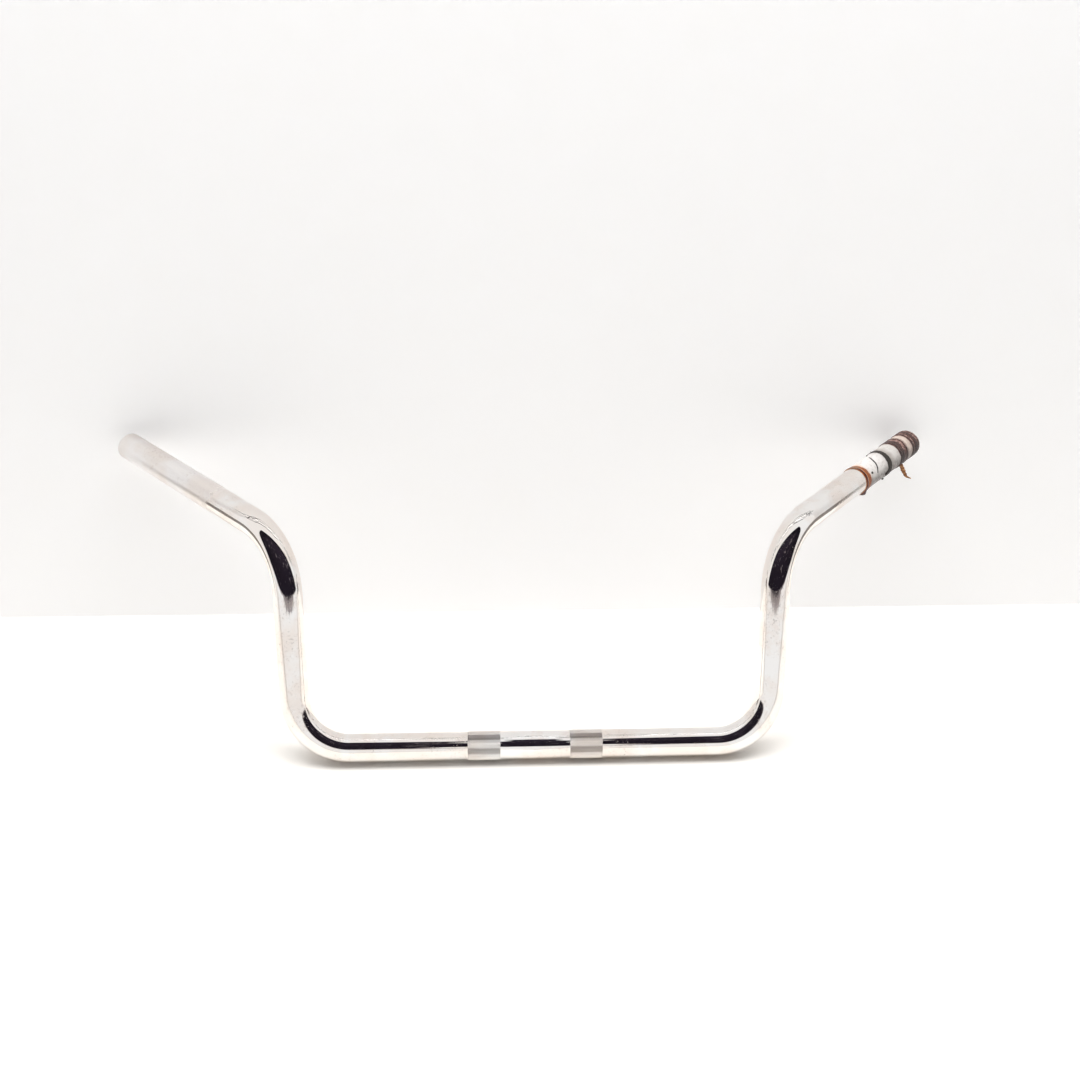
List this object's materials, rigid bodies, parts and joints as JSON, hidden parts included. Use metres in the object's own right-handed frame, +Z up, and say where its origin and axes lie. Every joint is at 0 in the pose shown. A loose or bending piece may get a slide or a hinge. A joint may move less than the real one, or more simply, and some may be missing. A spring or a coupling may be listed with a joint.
{
  "type": "motorcycle handlebar",
  "caption": "Bent steel tube handlebar with raised, swept-back grips, knurled clamp bands and dried grip glue on the clutch end.",
  "frame": {"origin": "on the tube axis at the middle of the clamped span, halfway between the two knurled bands", "axes": "+X across the motorcycle towards the clutch grip, +Y back towards the rider, +Z up, as the bar sits in its risers"},
  "size_m": [0.7734, 0.2558, 0.2049],
  "materials": {
    "chrome": "polished chrome, dulled to satin on the grip ends",
    "glue_film": "dried whitish glue film, matte",
    "brown_glue": "dried brown glue, dull",
    "rubber": "perished black rubber",
    "amber_glue": "hardened amber glue, slightly glossy"
  },
  "bodies": {
    "root": {"handlebar": "chrome", "glue_film": "glue_film", "outer_glue_ring": "brown_glue", "inner_glue_ring": "brown_glue", "rubber_ring": "rubber", "rubber_sliver": "rubber", "glue_collar": "amber_glue"}
  },
  "joints": []
}
